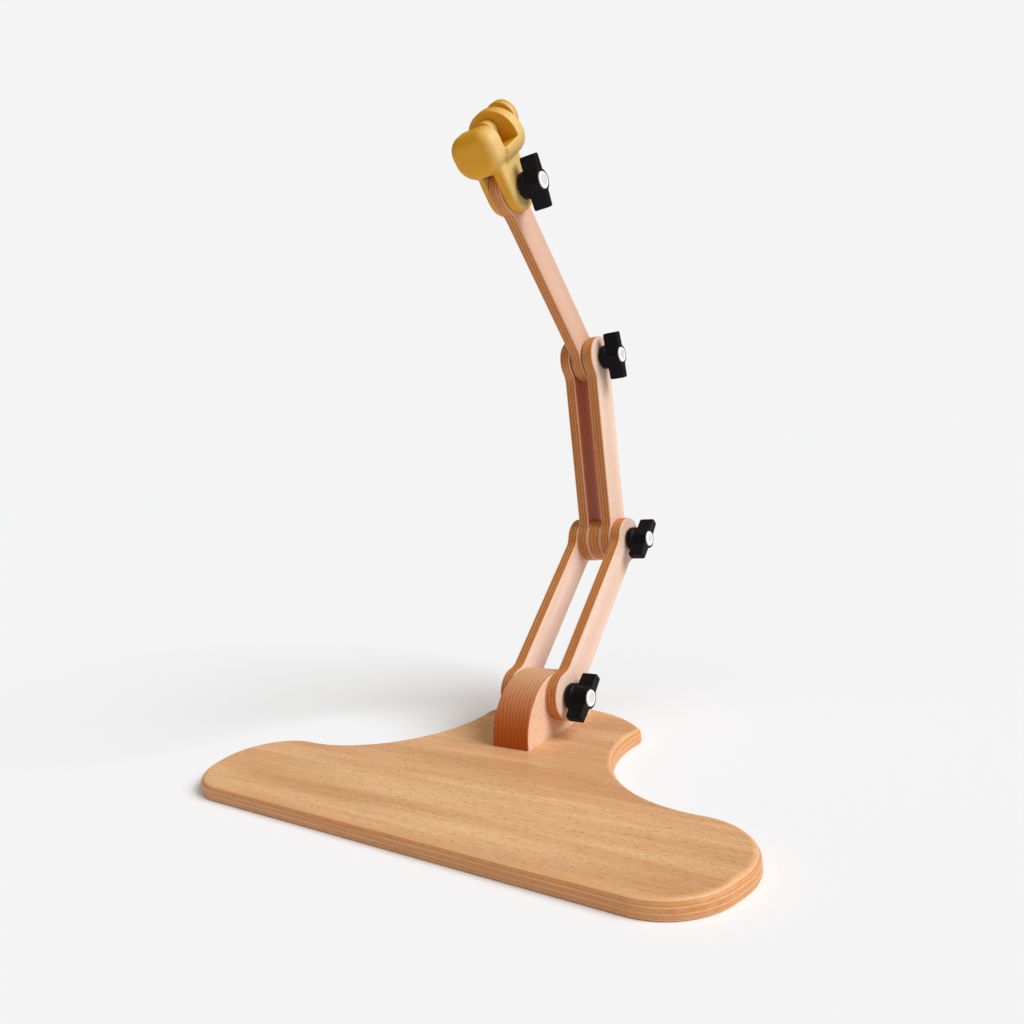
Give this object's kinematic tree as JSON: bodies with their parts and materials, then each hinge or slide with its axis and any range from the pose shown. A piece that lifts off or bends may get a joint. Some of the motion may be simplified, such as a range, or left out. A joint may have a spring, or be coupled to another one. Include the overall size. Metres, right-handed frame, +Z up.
{
  "type": "embroidery hoop seat stand",
  "caption": "Sit-on embroidery hoop stand: a plywood seat base with a half-round pivot block, a folding wooden arm locked by wing knobs, and a slotted clamp head that grips the hoop.",
  "frame": {"origin": "underside of the base plate, straight below the lowest pivot", "axes": "+Z up, +Y away from the sitter and square to the straight edge, +X along the pivot bolts towards the wing knobs"},
  "size_m": [0.4136, 0.3142, 0.4809],
  "materials": {
    "base_ply": "sanded and oiled beech plywood, bare layered edges",
    "block_beech": "sanded solid beech",
    "link_ply": "sanded beech plywood, bare layered edges",
    "head_plastic": "satin moulded plastic",
    "knob_plastic": "fine-grained moulded plastic",
    "cap_plastic": "smooth moulded plastic",
    "steel": "zinc-plated",
    "brass": "turned"
  },
  "bodies": {
    "base": {"base_plate": "base_ply", "pivot_block": "block_beech", "block_screws": "steel"},
    "lower_arm": {"lower_link_left": "link_ply", "lower_link_right": "link_ply", "block_bolt": "steel", "elbow_bolt": "steel"},
    "middle_arm": {"middle_link_left": "link_ply", "middle_link_right": "link_ply", "elbow_spacer": "link_ply", "wrist_bolt": "steel", "wrist_washers": "steel"},
    "upper_arm": {"upper_link": "link_ply"},
    "clamp_head": {"clamp_body": "head_plastic", "jaw_insert": "brass", "head_bolt": "steel"},
    "block_washer_body": {"block_washer": "steel"},
    "block_knob_body": {"block_knob": "knob_plastic", "block_insert": "brass", "block_cap": "cap_plastic"},
    "elbow_washer_body": {"elbow_washer": "steel"},
    "elbow_knob_body": {"elbow_knob": "knob_plastic", "elbow_insert": "brass", "elbow_cap": "cap_plastic"},
    "wrist_washer_body": {"wrist_washer": "steel"},
    "wrist_knob_body": {"wrist_knob": "knob_plastic", "wrist_insert": "brass", "wrist_cap": "cap_plastic"},
    "head_washer_body": {"head_washer": "steel"},
    "head_knob_body": {"head_knob": "knob_plastic", "head_insert": "brass", "head_cap": "cap_plastic"},
    "pad_body": {"clamp_pad": "head_plastic"},
    "screw_body": {"clamp_screw": "steel", "clamp_knob": "head_plastic"}
  },
  "joints": [
    {"name": "block_pivot", "type": "hinge", "parent": "base", "child": "lower_arm", "pos_m": [0, 0, 0.0384], "axis": [-1, 0, 0], "range_deg": [-85, 38]},
    {"name": "elbow_pivot", "type": "hinge", "parent": "lower_arm", "child": "middle_arm", "pos_m": [0, 0.11675, 0.13882], "axis": [1, 0, 0], "range_deg": [-100, 85]},
    {"name": "wrist_pivot", "type": "hinge", "parent": "middle_arm", "child": "upper_arm", "pos_m": [0, 0.11554, 0.29282], "axis": [-1, 0, 0], "range_deg": [-80, 120]},
    {"name": "head_pivot", "type": "hinge", "parent": "upper_arm", "child": "clamp_head", "pos_m": [0, 0.02116, 0.4145], "axis": [1, 0, 0], "range_deg": [-100, 100]},
    {"name": "block_knob_travel", "type": "slide", "parent": "lower_arm", "child": "block_washer_body", "axis": [1, 0, 0], "range_m": [0, 0.0013]},
    {"name": "block_knob_turn", "type": "hinge", "parent": "block_washer_body", "child": "block_knob_body", "pos_m": [0, 0, 0.0384], "axis": [1, 0, 0], "range_deg": [0, 450]},
    {"name": "elbow_knob_travel", "type": "slide", "parent": "lower_arm", "child": "elbow_washer_body", "axis": [1, 0, 0], "range_m": [0, 0.0013]},
    {"name": "elbow_knob_turn", "type": "hinge", "parent": "elbow_washer_body", "child": "elbow_knob_body", "pos_m": [0, 0.11675, 0.13882], "axis": [1, 0, 0], "range_deg": [0, 450]},
    {"name": "wrist_knob_travel", "type": "slide", "parent": "middle_arm", "child": "wrist_washer_body", "axis": [1, 0, 0], "range_m": [0, 0.0013]},
    {"name": "wrist_knob_turn", "type": "hinge", "parent": "wrist_washer_body", "child": "wrist_knob_body", "pos_m": [0, 0.11554, 0.29282], "axis": [1, 0, 0], "range_deg": [0, 450]},
    {"name": "head_knob_travel", "type": "slide", "parent": "clamp_head", "child": "head_washer_body", "axis": [1, 0, 0], "range_m": [0, 0.0013]},
    {"name": "head_knob_turn", "type": "hinge", "parent": "head_washer_body", "child": "head_knob_body", "pos_m": [0, 0.02116, 0.4145], "axis": [1, 0, 0], "range_deg": [0, 450]},
    {"name": "pad_travel", "type": "slide", "parent": "clamp_head", "child": "pad_body", "axis": [0, -0.8039, -0.5948], "range_m": [0, 0.0056]},
    {"name": "screw_turn", "type": "hinge", "parent": "pad_body", "child": "screw_body", "pos_m": [0, -0.00395, 0.44843], "axis": [0, -0.8039, -0.5948], "range_deg": [0, 1580]}
  ],
  "couplings": [
    {"joint": "block_knob_travel", "follows": "block_knob_turn", "m_per_rad": 0.00015915},
    {"joint": "elbow_knob_travel", "follows": "elbow_knob_turn", "m_per_rad": 0.00015915},
    {"joint": "wrist_knob_travel", "follows": "wrist_knob_turn", "m_per_rad": 0.00015915},
    {"joint": "head_knob_travel", "follows": "head_knob_turn", "m_per_rad": 0.00015915},
    {"joint": "pad_travel", "follows": "screw_turn", "m_per_rad": 0.00019894}
  ]
}
